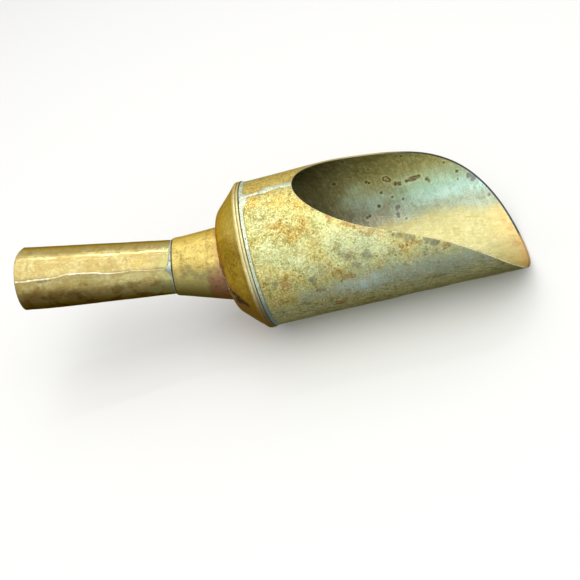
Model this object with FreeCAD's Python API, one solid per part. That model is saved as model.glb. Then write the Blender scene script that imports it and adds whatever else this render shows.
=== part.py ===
"""Feed scoop in brass sheet: a rolled tube body with a slanted mouth, a dished back,
a flared collar and a rolled tube handle, all soldered together.  Millimetres, +Z up.

+X points out of the mouth.  The origin is under the middle of the scoop's length, on the
plane that the scoop lies on.
"""
import FreeCAD, Part
import math
import os

from FreeCAD import Placement, Rotation, Vector

# Driving dimensions, mm
BODY_R = 44.0            # outside of the rolled body
SHEET = 0.9              # brass sheet of the body, the back and the handle
SKIRT_LENGTH = 3.4       # straight skirt of the back, which slips over the body
SKIRT_GROOVE_R = 0.45    # round groove that divides the skirt into two beads
DISC_DEPTH = 19.5        # from the skirt's front edge back to the flat back disc
CONE_END_R = 29.7        # where the cone and the flat disc would meet without a knuckle
KNUCKLE_R = 9.8          # outside radius of the rounded knuckle between them
BODY_INSERT = 3.0        # how far the body goes into the skirt
SEAM_GAP = 0.6           # gap between the two edges of a rolled sheet, full of solder
SEAM_BEAD_W = 2.4        # solder bead over the body's seam
SEAM_BEAD_H = 0.5
SKIRT_SOLDER_W = 2.8     # solder fillet in front of the skirt

HANDLE_PITCH = 11.75     # degrees that the handle rises towards its end
HANDLE_DROP = 0.7        # handle axis below the body's axis at the back disc
COLLAR_LENGTH = 33.1     # along the handle axis from the back disc to the collar's mouth
COLLAR_SHEET = 0.6
COLLAR_MOUTH_R = 17.15   # outside of the collar where the handle goes in
COLLAR_FLARE = 0.173     # growth of its radius for each mm towards the back disc
COLLAR_SOLDER_W = 1.9    # solder fillet between collar and back disc
HANDLE_END = 124.9       # along the handle axis from the back disc to the open end
HANDLE_JOINT_R = 16.4    # outside of the handle at the collar's mouth
HANDLE_END_R = 19.4      # outside of the handle at its open end
HANDLE_INSERT = 8.0      # how far the handle goes into the collar
HANDLE_SEAM_ANGLE = 38.0 # seam's place round the handle, degrees up from the -Y side
HANDLE_BEAD_W = 1.8
HANDLE_BEAD_H = 0.3
JOINT_SOLDER_IN = 4.0    # solder drawn into the collar's mouth
JOINT_SOLDER_OUT = 1.3   # and standing in front of it on the handle

# Side view of the mouth's cut edge: distance from the skirt's front edge and height from
# the body's axis.  It leaves the top seam, falls slowly, then drops steeply to the tip.
MOUTH = [(31.1, 44.0), (60.5, 31.4), (87.3, 22.0), (109.6, 11.4),
         (124.9, 0.0), (144.0, -22.0), (153.4, -38.0), (156.2, -44.0)]

# Worked out from them
SKIRT_R = BODY_R + SHEET
PITCH = math.radians(HANDLE_PITCH)
TIP_X = MOUTH[-1][0]
HANDLE_BACK_X = DISC_DEPTH + HANDLE_END * math.cos(PITCH) + HANDLE_END_R * math.sin(PITCH)
SKIRT_X = (HANDLE_BACK_X - TIP_X) / 2      # skirt's front edge, so that x = 0 is mid-length
AXIS_Z = SKIRT_R                           # height of the body's axis
LONG = 400.0                               # longer than the whole scoop
COLLAR_RUN_ON = 6.0                        # collar made past the disc, before it is trimmed
MOUTH_RUN_ON = 4.0                         # mouth's cut run straight on past the body's wall

X_AXIS = Vector(1, 0, 0)
BODY_FRAME = Placement(Vector(SKIRT_X, 0, AXIS_Z), Rotation())
BACKWARDS = Rotation(Vector(0, 0, 1), 180)
UPHILL = Rotation(Vector(0, 1, 0), HANDLE_PITCH)
HANDLE_FRAME = Placement(Vector(SKIRT_X - DISC_DEPTH, 0, AXIS_Z - HANDLE_DROP), UPHILL.multiply(BACKWARDS))


def handle_r(along):
    """Outside radius of the handle at a distance along its axis."""
    rise = (HANDLE_END_R - HANDLE_JOINT_R) / (HANDLE_END - COLLAR_LENGTH)
    return HANDLE_JOINT_R + rise * (along - COLLAR_LENGTH)


def collar_r(along):
    """Outside radius of the collar at a distance along the handle axis."""
    return COLLAR_MOUTH_R + COLLAR_FLARE * (COLLAR_LENGTH - along)


def on_body(shape):
    """Move a piece from the body's own axis to its place over the ground plane."""
    placed = shape.copy()
    placed.Placement = BODY_FRAME.multiply(placed.Placement)
    return placed


def on_handle(shape):
    """Move a piece from the X axis to the handle's axis, with distance along it from the disc."""
    placed = shape.copy()
    placed.Placement = HANDLE_FRAME.multiply(placed.Placement)
    return placed


def revolve(wire):
    """Turn a closed outline of (distance along the axis, radius) round the X axis."""
    return Part.Face(wire).revolve(Vector(), X_AXIS, 360)


def outline(points):
    """Closed wire through (along, radius) points."""
    corners = [Vector(along, 0, radius) for along, radius in points]
    return Part.makePolygon(corners + corners[:1])


def rod(start, end, radius, past=0.0):
    """Round rod between two points, longer by past at each end."""
    run = (end - start).normalize()
    length = (end - start).Length + 2 * past
    return Part.makeCylinder(radius, length, start - run * past, run)


def bead_section(width, height):
    """Radius of a low round bead, and how far its centre lies under the surface."""
    radius = (width * width / 4 + height * height) / (2 * height)
    return radius, radius - height


def seam_slot(length, from_r, to_r):
    """Thin plate that stands over a rolled sheet's seam, on the +Z side."""
    return Part.makeBox(length, SEAM_GAP, to_r - from_r, Vector(-length / 2, -SEAM_GAP / 2, from_r))


def mouth_cutter():
    """Everything in front of and above the mouth's edge."""
    curve = Part.BSplineCurve()
    curve.interpolate([Vector(x, -LONG / 2, z) for x, z in MOUTH])
    top, tip = curve.StartPoint, curve.EndPoint
    above = top - curve.tangent(curve.FirstParameter)[0] * MOUTH_RUN_ON
    below = tip + curve.tangent(curve.LastParameter)[0] * MOUTH_RUN_ON
    corners = [below, Vector(LONG, below.y, below.z), Vector(LONG, above.y, above.z), above, top]
    wire = Part.Wire([curve.toShape(), Part.makeLine(tip, below)] + Part.makePolygon(corners).Edges)
    return Part.Face(wire).extrude(Vector(0, LONG, 0))


def rolled_body():
    """Tube of body sheet from inside the skirt to the mouth, with its seam still closed."""
    outer = Part.makeCylinder(BODY_R, LONG, Vector(-BODY_INSERT, 0, 0), X_AXIS)
    inner = Part.makeCylinder(BODY_R - SHEET, LONG, Vector(-BODY_INSERT, 0, 0), X_AXIS)
    return outer.cut(inner).cut(mouth_cutter())


def body_slot():
    """Gap of the body's seam."""
    return seam_slot(LONG, BODY_R - 2 * SHEET, BODY_R + SHEET)


def scoop_body():
    """Rolled body, open along its seam."""
    return rolled_body().cut(body_slot())


def skirt_solder():
    """Fillet of solder all round the body in front of the skirt."""
    heel = SKIRT_SOLDER_W / 3
    profile = [(0, BODY_R), (0, SKIRT_R - 0.1), (heel, BODY_R + 0.35), (SKIRT_SOLDER_W, BODY_R)]
    return revolve(outline(profile))


def body_seam_solder():
    """Solder that fills the top seam, with a bead over it from the skirt to the mouth."""
    filling = rolled_body().common(body_slot())
    radius, depth = bead_section(SEAM_BEAD_W, SEAM_BEAD_H)
    height = BODY_R - depth
    bead = rod(Vector(0, 0, height), Vector(LONG, 0, height), radius)
    bead = bead.cut(Part.makeCylinder(BODY_R, LONG, Vector(), X_AXIS))
    bead = bead.cut(mouth_cutter()).cut(skirt_solder())
    return filling.fuse(bead).removeSplitter()


def dish_section(inset):
    """Edges of the back's half section, from the skirt's edge to the axis, inset by a thickness."""
    skirt_r = SKIRT_R - inset
    disc_x = inset - DISC_DEPTH
    fall = math.atan2(SKIRT_R - CONE_END_R, DISC_DEPTH - SKIRT_LENGTH)   # angle of cone to axis
    turn = math.pi / 2 - fall                                            # of cone to disc
    knee_r = CONE_END_R - inset * math.tan(turn / 2)
    knuckle = KNUCKLE_R - inset
    tangent = knuckle * math.tan(turn / 2)
    shoulder = Vector(inset * math.tan(fall / 2) - SKIRT_LENGTH, 0, skirt_r)
    cone_end = Vector(disc_x + tangent * math.cos(fall), 0, knee_r + tangent * math.sin(fall))
    disc_start = Vector(disc_x, 0, knee_r - tangent)
    centre = disc_start + Vector(knuckle, 0, 0)
    half_way = math.pi - turn / 2
    middle = centre + Vector(math.cos(half_way), 0, math.sin(half_way)) * knuckle
    return [Part.makeLine(Vector(0, 0, skirt_r), shoulder),
            Part.makeLine(shoulder, cone_end),
            Part.Arc(cone_end, middle, disc_start).toShape(),
            Part.makeLine(disc_start, Vector(disc_x, 0, 0))]


def back_dish():
    """Pressed back: skirt over the body, cone, knuckle and flat disc, in one sheet."""
    rim = Part.makeLine(Vector(0, 0, SKIRT_R - SHEET), Vector(0, 0, SKIRT_R))
    hub = Part.makeLine(Vector(-DISC_DEPTH, 0, 0), Vector(SHEET - DISC_DEPTH, 0, 0))
    dish = revolve(Part.Wire(dish_section(0.0) + [hub] + dish_section(SHEET)[::-1] + [rim]))
    middle = Vector(-SKIRT_LENGTH / 2, 0, 0)
    return dish.cut(Part.makeTorus(SKIRT_R + SKIRT_GROOVE_R / 2, SKIRT_GROOVE_R, middle, X_AXIS))


def solid_dish():
    """The back as if it were full, to trim what lies against its outside."""
    axis = Part.makeLine(Vector(-DISC_DEPTH, 0, 0), Vector())
    front = Part.makeLine(Vector(), Vector(0, 0, SKIRT_R))
    return on_body(revolve(Part.Wire(dish_section(0.0) + [axis, front])))


def collar():
    """Flared sleeve between the leaning back disc and the handle."""
    skin = COLLAR_SHEET
    start = -COLLAR_RUN_ON
    sleeve = revolve(outline([(start, collar_r(start)), (COLLAR_LENGTH, COLLAR_MOUTH_R),
                              (COLLAR_LENGTH, COLLAR_MOUTH_R - skin), (start, collar_r(start) - skin)]))
    disc_x = SKIRT_X - DISC_DEPTH
    in_front_of_disc = Part.makeBox(LONG, LONG, LONG, Vector(disc_x, -LONG / 2, -LONG / 2))
    return on_handle(sleeve).cut(in_front_of_disc)


def collar_base_solder():
    """Fillet of solder round the collar's oval foot, on the back disc."""
    foot_r = collar_r(0) / math.cos(PITCH)
    lean = foot_r * math.tan(PITCH)
    slip = (collar_r(-lean) - collar_r(lean)) / 2       # of the oval's middle, downwards
    inside, outside = foot_r - COLLAR_SOLDER_W, foot_r + COLLAR_SOLDER_W
    behind = -DISC_DEPTH - COLLAR_SOLDER_W
    ring = revolve(outline([(-DISC_DEPTH, inside), (-DISC_DEPTH, outside), (behind, inside)]))
    ring.translate(Vector(0, 0, -HANDLE_DROP - slip))
    start = -COLLAR_RUN_ON
    cone = revolve(outline([(start, 0), (start, collar_r(start)),
                            (COLLAR_LENGTH, COLLAR_MOUTH_R), (COLLAR_LENGTH, 0)]))
    return on_body(ring).cut(on_handle(cone)).cut(solid_dish())


def collar_joint_solder():
    """Solder between the handle and the collar's mouth, and the fillet in front of it."""
    inside = COLLAR_LENGTH - JOINT_SOLDER_IN
    outside = COLLAR_LENGTH + JOINT_SOLDER_OUT
    skin = COLLAR_SHEET
    return on_handle(revolve(outline([
        (inside, handle_r(inside)), (outside, handle_r(outside)), (COLLAR_LENGTH, COLLAR_MOUTH_R),
        (COLLAR_LENGTH, COLLAR_MOUTH_R - skin), (inside, collar_r(inside) - skin)])))


def rolled_handle():
    """Tube of handle sheet that widens towards its open end, with its seam still closed."""
    start = COLLAR_LENGTH - HANDLE_INSERT
    return revolve(outline([(start, handle_r(start)), (HANDLE_END, HANDLE_END_R),
                            (HANDLE_END, HANDLE_END_R - SHEET), (start, handle_r(start) - SHEET)]))


def handle_slot():
    """Gap of the handle's seam, on the +Z side."""
    return seam_slot(LONG, HANDLE_JOINT_R - 2 * SHEET, HANDLE_END_R + SHEET)


def turn_seam(shape):
    """Turn a handle piece from its seam on the +Z side to the seam's real side, and place it."""
    turned = shape.copy()
    turned.rotate(Vector(), X_AXIS, HANDLE_SEAM_ANGLE - 90)
    return on_handle(turned)


def handle_tube():
    """Rolled handle, open along its seam."""
    return turn_seam(rolled_handle().cut(handle_slot()))


def handle_seam_solder():
    """Solder that fills the handle's seam, with a low bead over it outside the collar."""
    filling = rolled_handle().common(handle_slot())
    start = COLLAR_LENGTH + JOINT_SOLDER_OUT
    radius, depth = bead_section(HANDLE_BEAD_W, HANDLE_BEAD_H)
    first = Vector(start, 0, handle_r(start) - depth)
    last = Vector(HANDLE_END, 0, HANDLE_END_R - depth)
    full_handle = revolve(outline([(0, 0), (0, handle_r(0)), (LONG, handle_r(LONG)), (LONG, 0)]))
    between = Part.makeBox(HANDLE_END - start, LONG, LONG, Vector(start, -LONG / 2, -LONG / 2))
    bead = rod(first, last, radius, past=radius).cut(full_handle).common(between)
    return turn_seam(filling.fuse(bead).removeSplitter())


PIECES = {
    "scoop_body": lambda: on_body(scoop_body()),
    "body_seam_solder": lambda: on_body(body_seam_solder()),
    "back_dish": lambda: on_body(back_dish()),
    "skirt_solder": lambda: on_body(skirt_solder()),
    "collar": collar,
    "collar_base_solder": collar_base_solder,
    "collar_joint_solder": collar_joint_solder,
    "handle_tube": handle_tube,
    "handle_seam_solder": handle_seam_solder,
}


def main():
    os.makedirs("parts", exist_ok=True)
    for name, make in PIECES.items():
        make().exportStep("parts/" + name + ".step")


main()
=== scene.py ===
"""Feed scoop in aged brass sheet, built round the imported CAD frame.

Every piece of sheet is a real skin with two sides and rounded edges, and every run of
solder is an uneven bead of its own.  Lengths are metres in the frame's own axes: +X out of
the mouth, +Z up.  Round the body, angles count from the bottom (0) over the near side (-Y)
to the top seam (180).  Round the handle, angles count upwards from its near side.
"""
import math

import bmesh
import bpy
import numpy as np
from mathutils import Matrix, Vector


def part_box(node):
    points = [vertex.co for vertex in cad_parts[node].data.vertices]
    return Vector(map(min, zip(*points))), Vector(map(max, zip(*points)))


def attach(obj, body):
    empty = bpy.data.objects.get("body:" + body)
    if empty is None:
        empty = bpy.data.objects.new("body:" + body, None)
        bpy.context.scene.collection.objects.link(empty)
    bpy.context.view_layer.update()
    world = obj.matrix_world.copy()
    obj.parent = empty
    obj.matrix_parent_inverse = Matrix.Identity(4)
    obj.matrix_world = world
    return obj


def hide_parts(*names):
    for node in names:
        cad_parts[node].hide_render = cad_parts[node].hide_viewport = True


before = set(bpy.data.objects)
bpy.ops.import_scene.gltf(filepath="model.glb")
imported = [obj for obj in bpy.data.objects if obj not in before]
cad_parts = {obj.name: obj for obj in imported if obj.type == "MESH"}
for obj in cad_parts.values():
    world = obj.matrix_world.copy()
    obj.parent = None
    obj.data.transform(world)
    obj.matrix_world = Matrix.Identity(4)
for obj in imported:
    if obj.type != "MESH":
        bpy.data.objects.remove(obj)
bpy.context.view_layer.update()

MM = 0.001
TURN = 2 * math.pi
FAR = 99.0                                 # mm, for no stain near

# ---- places read from the frame
BODY_LOW, BODY_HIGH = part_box("scoop_body")
DISH_LOW, DISH_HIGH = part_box("back_dish")
BODY_R = (BODY_HIGH.y - BODY_LOW.y) / 2
SKIRT_R = (DISH_HIGH.z - DISH_LOW.z) / 2
AXIS_Z = (DISH_HIGH.z + DISH_LOW.z) / 2
SKIRT_X = DISH_HIGH.x                      # front edge of the back's skirt
DISC_X = DISH_LOW.x                        # flat back disc

# ---- the design's own sizes
SHEET = 0.9 * MM
SKIRT_LENGTH = 3.4 * MM
BODY_INSERT = 3.0 * MM
CONE_END_R = 29.7 * MM
KNUCKLE_R = 9.8 * MM
HANDLE_PITCH = math.radians(11.75)
HANDLE_DROP = 0.7 * MM
COLLAR_LENGTH = 33.1 * MM
COLLAR_SHEET = 0.6 * MM
COLLAR_MOUTH_R = 17.15 * MM
COLLAR_FLARE = 0.173
HANDLE_END = 124.9 * MM
HANDLE_JOINT_R = 16.4 * MM
HANDLE_END_R = 19.4 * MM
HANDLE_INSERT = 8.0 * MM
HANDLE_SEAM = math.radians(38.0)

# Side view of the mouth's edge: distance from the skirt, height from the body's axis
MOUTH = MM * np.array([(31.1, 44.0), (60.5, 31.4), (87.3, 22.0), (109.6, 11.4),
                       (124.9, 0.0), (144.0, -22.0), (153.4, -38.0), (156.2, -44.0)])

HANDLE_AXIS = np.array([-math.cos(HANDLE_PITCH), 0.0, math.sin(HANDLE_PITCH)])
HANDLE_UP = np.array([math.sin(HANDLE_PITCH), 0.0, math.cos(HANDLE_PITCH)])
NEAR = np.array([0.0, -1.0, 0.0])
HANDLE_ROOT = np.array([DISC_X, 0.0, AXIS_Z - HANDLE_DROP])


# ---- numbers
def noise(points, size, seed):
    """Smooth noise from -1 to 1 at an array of points, with lumps of about that size."""
    cells = 32                                 # the pattern repeats after so many lumps
    lattice = np.random.default_rng(seed).uniform(-1, 1, (cells, cells, cells))
    place = np.asarray(points) / size
    cell = np.floor(place).astype(int)
    part = place - cell
    part = part * part * (3 - 2 * part)
    total = np.zeros(place.shape[:-1])
    for corner in np.ndindex(2, 2, 2):
        weight = np.where(np.array(corner) == 1, part, 1 - part).prod(axis=-1)
        index = (cell + corner) % cells
        total += weight * lattice[index[..., 0], index[..., 1], index[..., 2]]
    return total


def bell(value, middle, width):
    """Bell curve round a middle."""
    return np.exp(-((value - middle) / width) ** 2)


def step(value, low, high):
    """Smooth step from 0 at low to 1 at high."""
    part = np.clip((value - low) / (high - low), 0, 1)
    return part * part * (3 - 2 * part)


def folded(angle):
    """The same angle, from -pi to pi."""
    return (angle + math.pi) % TURN - math.pi


def round_angles(count):
    """Column of even angles once round."""
    return np.linspace(0, TURN, count, endpoint=False)[:, None]


def strip(along, across=0.0):
    """Points on a flat strip, for noise that runs along a seam."""
    return np.stack([along, across + 0 * along, 0 * along], axis=-1)


def mouth_curve(count=400):
    """Dense points of the mouth's side view, on a smooth curve through its corners."""
    lengths = np.linalg.norm(np.diff(MOUTH, axis=0), axis=1)
    knots = np.concatenate([[0], np.cumsum(lengths)])
    slopes = np.gradient(MOUTH, knots, axis=0, edge_order=2)
    where = np.linspace(0, knots[-1], count)
    span = np.clip(np.searchsorted(knots, where, side="right") - 1, 0, len(lengths) - 1)
    width = lengths[span][:, None]
    t = (where - knots[span])[:, None] / width
    return ((2 * t**3 - 3 * t**2 + 1) * MOUTH[span] + (t**3 - 2 * t**2 + t) * width * slopes[span]
            + (3 * t**2 - 2 * t**3) * MOUTH[span + 1] + (t**3 - t**2) * width * slopes[span + 1])


MOUTH_CURVE = mouth_curve()


def mouth_x(angle):
    """Distance from the skirt to the mouth's edge at angles round the body."""
    return np.interp(BODY_R * np.cos(angle), -MOUTH_CURVE[:, 1], MOUTH_CURVE[:, 0])


def body_point(along, angle, radius):
    """Point by distance in front of the skirt, angle from the bottom, and radius."""
    along, angle, radius = np.broadcast_arrays(along, angle, radius)
    return np.stack([SKIRT_X + along, -radius * np.sin(angle), AXIS_Z - radius * np.cos(angle)], axis=-1)


def handle_point(along, angle, radius):
    """Point by distance from the back disc, angle up from the near side, and radius."""
    along, angle, radius = (value[..., None] for value in np.broadcast_arrays(along, angle, radius))
    side = np.cos(angle) * NEAR + np.sin(angle) * HANDLE_UP
    return HANDLE_ROOT + along * HANDLE_AXIS + radius * side


def handle_r(along):
    """Outside radius of the handle."""
    rise = (HANDLE_END_R - HANDLE_JOINT_R) / (HANDLE_END - COLLAR_LENGTH)
    return HANDLE_JOINT_R + rise * (along - COLLAR_LENGTH)


def collar_r(along):
    """Outside radius of the collar."""
    return COLLAR_MOUTH_R + COLLAR_FLARE * (COLLAR_LENGTH - along)


def collar_foot(angle):
    """Where the collar meets the leaning back disc, as a place along the handle's axis."""
    lean = np.sin(angle) * math.tan(HANDLE_PITCH)
    return lean * collar_r(lean * collar_r(0))


# ---- meshes
def make_piece(name, points, materials, replaced, zones=None, ring=True):
    """Closed skin over a grid of points, (rows, columns, 3), whose columns go round a section.

    The rows go on round the object if ring is true, and end in two flat caps if not.
    zones gives the material of each column.
    """
    rows, columns = points.shape[:2]
    row, column = np.meshgrid(np.arange(rows if ring else rows - 1), np.arange(columns), indexing="ij")
    next_row, next_column = (row + 1) % rows, (column + 1) % columns
    corners = [row * columns + column, row * columns + next_column,
               next_row * columns + next_column, next_row * columns + column]
    faces = np.stack(corners, axis=-1).reshape(-1, 4).tolist()
    face_zones = np.zeros(len(faces), int) if zones is None else np.tile(zones, len(row))
    face_zones = face_zones.tolist()
    if not ring:
        faces += [list(range(columns)), list(range((rows - 1) * columns, rows * columns))]
        face_zones += face_zones[:1] * 2
    mesh = bpy.data.meshes.new(name)
    mesh.from_pydata(points.reshape(-1, 3).tolist(), [], faces)
    for material in materials:
        mesh.materials.append(material)
    mesh.polygons.foreach_set("material_index", face_zones)
    mesh.polygons.foreach_set("use_smooth", [True] * len(faces))
    tidy = bmesh.new()
    tidy.from_mesh(mesh)
    bmesh.ops.remove_doubles(tidy, verts=tidy.verts, dist=1e-7)
    loose = [edge for edge in tidy.edges if not edge.link_faces]
    bmesh.ops.delete(tidy, geom=loose, context="EDGES")
    bmesh.ops.recalc_face_normals(tidy, faces=tidy.faces)
    tidy.to_mesh(mesh)
    tidy.free()
    piece = bpy.data.objects.new(name, mesh)
    bpy.context.scene.collection.objects.link(piece)
    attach(piece, "root")
    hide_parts(*replaced)
    return piece


def edge_round(half, reach, count=5):
    """Offsets (outwards from mid-sheet, past the end) that round the cut edge of a sheet."""
    turn = np.linspace(0, math.pi, count + 2)[1:-1]
    return half * np.cos(turn), reach * np.sin(turn)


# ---- materials
class Paint:
    """Shader nodes of one material, added by short calls, and its colour so far.

    Fields give mm and masks run from 0 to 1.  on_surface turns a distance along and an angle
    round into the point where a stain sits."""

    def __init__(self, name, on_surface=None):
        self.on_surface = on_surface
        self.colour = None
        self.material = bpy.data.materials.new(name)
        self.material.use_nodes = True
        self.tree = self.material.node_tree
        self.tree.nodes.clear()
        self.place = self.node("ShaderNodeTexCoord").outputs["Object"]
        split = self.node("ShaderNodeSeparateXYZ", inputs={0: self.place})
        self.along = self.linear(split.outputs[0], 1 / MM, -SKIRT_X / MM)
        self.up = self.linear(split.outputs[2], 1 / BODY_R, -AXIS_Z / BODY_R)

    def node(self, kind, settings=None, inputs=None):
        """Add a node, set its properties, and set or link its inputs."""
        made = self.tree.nodes.new(kind)
        for key, value in (settings or {}).items():
            setattr(made, key, value)
        for key, value in (inputs or {}).items():
            if isinstance(value, bpy.types.NodeSocket):
                self.tree.links.new(value, made.inputs[key])
            else:
                made.inputs[key].default_value = value
        return made

    def math(self, operation, a, b=0.0, c=0.0):
        return self.node("ShaderNodeMath", {"operation": operation}, {0: a, 1: b, 2: c}).outputs[0]

    def both(self, a, b):
        """Product of two masks, or of a mask and a strength."""
        return self.math("MULTIPLY", a, b)

    def either(self, a, b):
        """The stronger of two masks."""
        return self.math("MAXIMUM", a, b)

    def linear(self, value, slope, start):
        """A value times a slope, plus a start."""
        return self.math("MULTIPLY_ADD", value, slope, start)

    def vector(self, operation, a, b):
        return self.node("ShaderNodeVectorMath", {"operation": operation}, {0: a, 1: b})

    def noise(self, size, detail=4.0, rough=0.55, warp=0.0, place=None):
        """Fractal noise round 0.5, with lumps of about that size in mm."""
        settings = {"Vector": place or self.place, "Scale": 1 / (size * MM), "Detail": detail,
                    "Roughness": rough, "Distortion": warp}
        return self.node("ShaderNodeTexNoise", inputs=settings).outputs[0]

    def between(self, value, low, high, start=0.0, end=1.0):
        """Smooth step of a value from start at low to end at high."""
        made = self.node("ShaderNodeMapRange", {"interpolation_type": "SMOOTHSTEP"},
                         {0: value, 1: low, 2: high, 3: start, 4: end})
        return made.outputs[0]

    def mix(self, factor, a, b, blend="MIX"):
        colours = {6: a if isinstance(a, bpy.types.NodeSocket) else (*a, 1),
                   7: b if isinstance(b, bpy.types.NodeSocket) else (*b, 1)}
        made = self.node("ShaderNodeMix", {"data_type": "RGBA", "blend_type": blend}, {0: factor, **colours})
        return made.outputs[2]

    def stain(self, mask, strength, tint):
        """Lay a tint over the colour where the mask is."""
        self.colour = self.mix(self.both(mask, strength), self.colour, tint)

    def shade(self, mask, factor):
        """Multiply the colour by an (r, g, b) factor where the mask is."""
        self.colour = self.mix(mask, self.colour, factor, "MULTIPLY")

    def ragged(self, amount, size):
        """The place, shifted by noise of that amount in mm, for stains with uneven outlines."""
        shift = self.node("ShaderNodeTexNoise", inputs={
            "Vector": self.place, "Scale": 1 / (size * MM), "Detail": 3.0}).outputs[1]
        centred = self.vector("SUBTRACT", shift, (0.5, 0.5, 0.5)).outputs[0]
        scaled = self.vector("MULTIPLY", centred, (2 * amount * MM,) * 3).outputs[0]
        return self.vector("ADD", self.place, scaled).outputs[0]

    def field(self, stains, spread, size):
        """How far outside the nearest stain, negative inside, with outlines made ragged.

        Each stain is (mm along, degrees round, radius in mm), as on_surface counts them."""
        shifted = self.ragged(spread, size)
        nearest = FAR
        for along, angle, radius in stains:
            point = self.on_surface(along * MM, math.radians(angle))
            distance = self.vector("DISTANCE", shifted, tuple(point)).outputs["Value"]
            nearest = self.math("MINIMUM", self.linear(distance, 1 / MM, -radius), nearest)
        return nearest

    def scattered(self, spacing, share, radius, spread, size):
        """Field of stains scattered at random about a spacing apart, on a share of the places."""
        cells = self.node("ShaderNodeTexVoronoi", inputs={
            "Vector": self.ragged(spread, size), "Scale": 1 / (spacing * MM)})
        dice = self.node("ShaderNodeSeparateColor", inputs={0: cells.outputs["Color"]}).outputs[0]
        absent = self.between(dice, share, share + 0.01, 0.0, FAR)
        distance = self.linear(cells.outputs["Distance"], spacing, -radius)
        return self.math("ADD", distance, absent)

    def inside(self, field, soft=0.4):
        """Mask inside a field's stains, fading over twice the soft distance."""
        return self.between(field, soft, -soft)

    def rim(self, field, at, width, full=0.0):
        """Mask of a ring where a field is about a value, full close to it and gone at the width."""
        return self.between(self.math("ABSOLUTE", self.math("SUBTRACT", field, at)), width, full)

    def round_body(self):
        """The place unrolled round the body's axis: along and arc."""
        split = self.node("ShaderNodeSeparateXYZ", inputs={0: self.place})
        height = self.math("SUBTRACT", split.outputs[2], AXIS_Z)
        angle = self.math("ARCTAN2", split.outputs[1], height)
        arc = self.both(angle, BODY_R)
        return self.node("ShaderNodeCombineXYZ", inputs={0: split.outputs[0], 1: arc}).outputs[0]

    def round_handle(self):
        """The place unrolled round the handle's axis: along and arc."""
        local = self.vector("SUBTRACT", self.place, tuple(HANDLE_ROOT)).outputs[0]
        along, near, up = (self.vector("DOT_PRODUCT", local, tuple(axis)).outputs["Value"]
                           for axis in (HANDLE_AXIS, NEAR, HANDLE_UP))
        angle = self.math("ARCTAN2", up, near)
        angle = self.linear(self.math("LESS_THAN", angle, -math.pi / 2), TURN, angle)
        arc = self.both(angle, HANDLE_END_R)
        return self.node("ShaderNodeCombineXYZ", inputs={0: along, 1: arc}).outputs[0]

    def handle_places(self, skin):
        """From the unrolled handle: mm from the back disc, and degrees up from the near side.

        Past the fold the angle falls again, to meet the near side's -90 at the very bottom."""
        place = self.node("ShaderNodeSeparateXYZ", inputs={0: skin})
        from_disc = self.math("DIVIDE", place.outputs[0], MM)
        turn = self.both(place.outputs[1], math.degrees(1 / HANDLE_END_R))
        fold = 130
        slope = (fold + 90) / (270 - fold)
        falling = self.linear(turn, -slope, fold + fold * slope)
        return from_disc, self.math("MINIMUM", turn, falling)

    def streaks(self, unrolled, turn, length, width, low, high, detail=2.0):
        """Mask of fine streaks or scratches of that length and width in mm, turned by degrees."""
        stretched = self.node("ShaderNodeMapping", {"vector_type": "TEXTURE"}, {
            "Vector": unrolled, "Rotation": (0, 0, math.radians(turn)),
            "Scale": (length * MM, width * MM, MM)}).outputs[0]
        value = self.node("ShaderNodeTexNoise", inputs={"Vector": stretched, "Scale": 1.0, "Detail": detail})
        return self.between(value.outputs[0], low, high)

    def scratches(self, unrolled, turns, length, width):
        """Mask of sparse fine scratches in several directions."""
        total = 0.0
        for turn in turns:
            total = self.either(self.streaks(unrolled, turn, length, width, 0.66, 0.74, 0.0), total)
        return total

    def metal(self, roughness, bumps, edge=(0.70, 0.60, 0.36)):
        """Finish with a metal of that roughness, (height, depth in mm) bumps and grazing tint."""
        normal = None
        for height, depth in bumps:
            inputs = {"Strength": 1.0, "Distance": depth * MM, "Height": height}
            if normal:
                inputs["Normal"] = normal
            normal = self.node("ShaderNodeBump", inputs=inputs).outputs[0]
        shader = self.node("ShaderNodeBsdfPrincipled", inputs={
            "Base Color": self.colour, "Roughness": roughness, "Metallic": 1.0, "Normal": normal,
            "Specular Tint": (*edge, 1)})
        output = self.node("ShaderNodeOutputMaterial")
        self.tree.links.new(shader.outputs[0], output.inputs[0])
        return self.material


def on_body(along, angle):
    """Point on the body's outside, from its place in front of the skirt and angle from the bottom."""
    return body_point(along, angle, BODY_R)


def in_body(along, angle):
    """Point on the body's inside."""
    return body_point(along, angle, BODY_R - SHEET)


def cone_fall():
    """How steeply the back's cone narrows, as an angle from the body's axis."""
    return math.atan2(SKIRT_R - CONE_END_R, SKIRT_X - DISC_X - SKIRT_LENGTH)


def on_back(along, angle):
    """Point on the back's cone or knuckle, at a negative place in front of the skirt."""
    from_disc = SKIRT_X - DISC_X + along
    radius = CONE_END_R + from_disc * math.tan(cone_fall())
    if from_disc < KNUCKLE_R * (1 - math.sin(cone_fall())):
        flat_r = CONE_END_R - KNUCKLE_R * math.tan((math.pi / 2 - cone_fall()) / 2)
        radius = flat_r + math.sqrt(from_disc * (2 * KNUCKLE_R - from_disc))
    return body_point(along, angle, radius)


def on_handle(along, angle):
    """Point on the handle or the collar, from the back disc and up from the near side."""
    radius = handle_r(along) if along > COLLAR_LENGTH else collar_r(along)
    return handle_point(along, angle, radius)


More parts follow.
